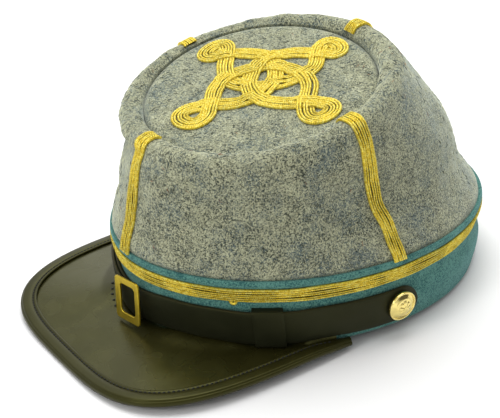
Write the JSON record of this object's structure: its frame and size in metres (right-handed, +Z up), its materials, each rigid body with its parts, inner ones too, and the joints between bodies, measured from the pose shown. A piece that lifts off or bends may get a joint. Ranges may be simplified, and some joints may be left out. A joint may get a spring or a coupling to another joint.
{
  "type": "kepi cap",
  "caption": "Soft-crowned kepi with a sunken round top, gold braid knot and stripes, contrast wool band, leather visor, buckled chin strap and side buttons.",
  "frame": {"origin": "centre of the cap's footprint, on the surface that it rests on", "axes": "+X towards the wearer's left, -Y towards the front of the visor, +Z up; the cap rests on the front of its visor and the back of its band"},
  "size_m": [0.1802, 0.2576, 0.1312],
  "materials": {
    "grey_wool": "milled wool cloth, heather grey with darker and lighter fibres",
    "teal_wool": "milled wool cloth, teal",
    "gold_braid": "corded soutache braid, gold yellow with a soft sheen",
    "black_leather": "smooth black leather, semi-gloss",
    "brass": "satin, a little worn",
    "polished_gold": "polished"
  },
  "bodies": {
    "root": {"crown_side": "grey_wool", "crown_top": "grey_wool", "band": "teal_wool", "band_braid": "gold_braid", "front_braid": "gold_braid", "left_braid": "gold_braid", "back_braid": "gold_braid", "right_braid": "gold_braid", "crown_knot": "gold_braid", "visor": "black_leather", "visor_binding": "black_leather", "chin_strap": "black_leather", "strap_tongue": "black_leather", "strap_keeper": "black_leather", "strap_buckle": "brass", "left_button": "polished_gold", "right_button": "polished_gold"}
  },
  "joints": []
}
